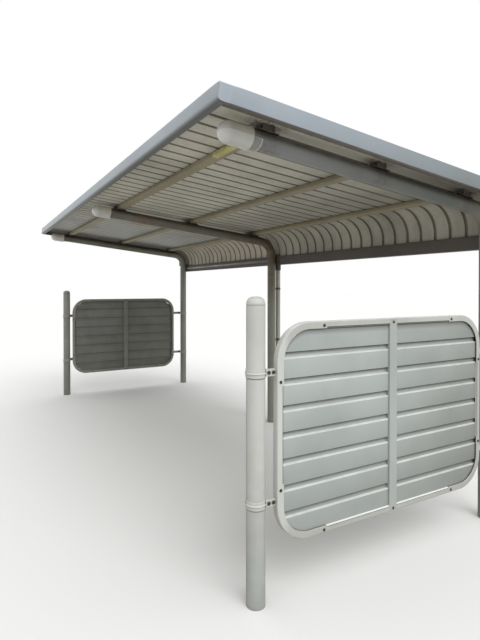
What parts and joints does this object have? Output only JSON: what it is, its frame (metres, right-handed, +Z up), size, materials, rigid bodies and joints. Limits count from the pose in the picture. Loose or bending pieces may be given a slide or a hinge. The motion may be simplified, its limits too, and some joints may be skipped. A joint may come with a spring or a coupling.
{
  "type": "bike shelter",
  "caption": "Open-fronted cantilever bike shelter: bent tube posts carry a sloping ribbed roof with a curved rear edge, with boarded end panels.",
  "frame": {"origin": "on the ground, under the middle of the roof's outline", "axes": "+Z up; +X along the shelter to the right as seen from its open front; +Y from the open front to the rear posts and gutter"},
  "size_m": [5.374, 2.1372, 2.2811],
  "materials": {
    "painted_steel": "stone-grey enamel, slightly weathered",
    "roof_steel": "coated sheet, grey-brown underside",
    "trim_aluminium": "satin grey coating",
    "board_steel": "coated sheet, pale stone grey",
    "panel_steel": "stone-grey enamel",
    "dark_steel": "brown-grey enamel with dirt",
    "pipe_plastic": "matt grey-brown",
    "clear_white_plastic": "glossy off-white"
  },
  "bodies": {
    "root": {"right_post_and_arm": "painted_steel", "middle_post_and_arm": "painted_steel", "left_post_and_arm": "painted_steel", "right_arm_cap": "clear_white_plastic", "middle_arm_cap": "clear_white_plastic", "left_arm_cap": "clear_white_plastic", "arm_collars": "painted_steel", "right_front_purlin": "painted_steel", "right_middle_purlin": "painted_steel", "right_rear_purlin": "painted_steel", "left_front_purlin": "painted_steel", "left_middle_purlin": "painted_steel", "left_rear_purlin": "painted_steel", "right_purlin_brackets": "dark_steel", "middle_purlin_brackets": "dark_steel", "left_purlin_brackets": "dark_steel", "right_roof_sheet": "roof_steel", "left_roof_sheet": "roof_steel", "right_front_trim": "trim_aluminium", "left_front_trim": "trim_aluminium", "roof_corner_caps": "trim_aluminium", "right_side_trim": "trim_aluminium", "left_side_trim": "trim_aluminium", "right_gutter": "dark_steel", "left_gutter": "dark_steel", "gutter_joiner": "dark_steel", "gutter_end_caps": "dark_steel", "gutter_plates": "dark_steel", "gutter_outlet": "dark_steel", "downpipe": "pipe_plastic", "pipe_clips": "dark_steel", "right_front_post": "painted_steel", "left_front_post": "painted_steel", "right_front_post_cap": "painted_steel", "left_front_post_cap": "painted_steel", "right_panel_frame": "panel_steel", "left_panel_frame": "panel_steel", "right_panel_mullion": "panel_steel", "left_panel_mullion": "panel_steel", "right_panel_boards": "board_steel", "left_panel_boards": "board_steel", "right_panel_clamps": "panel_steel", "left_panel_clamps": "panel_steel"}
  },
  "joints": []
}
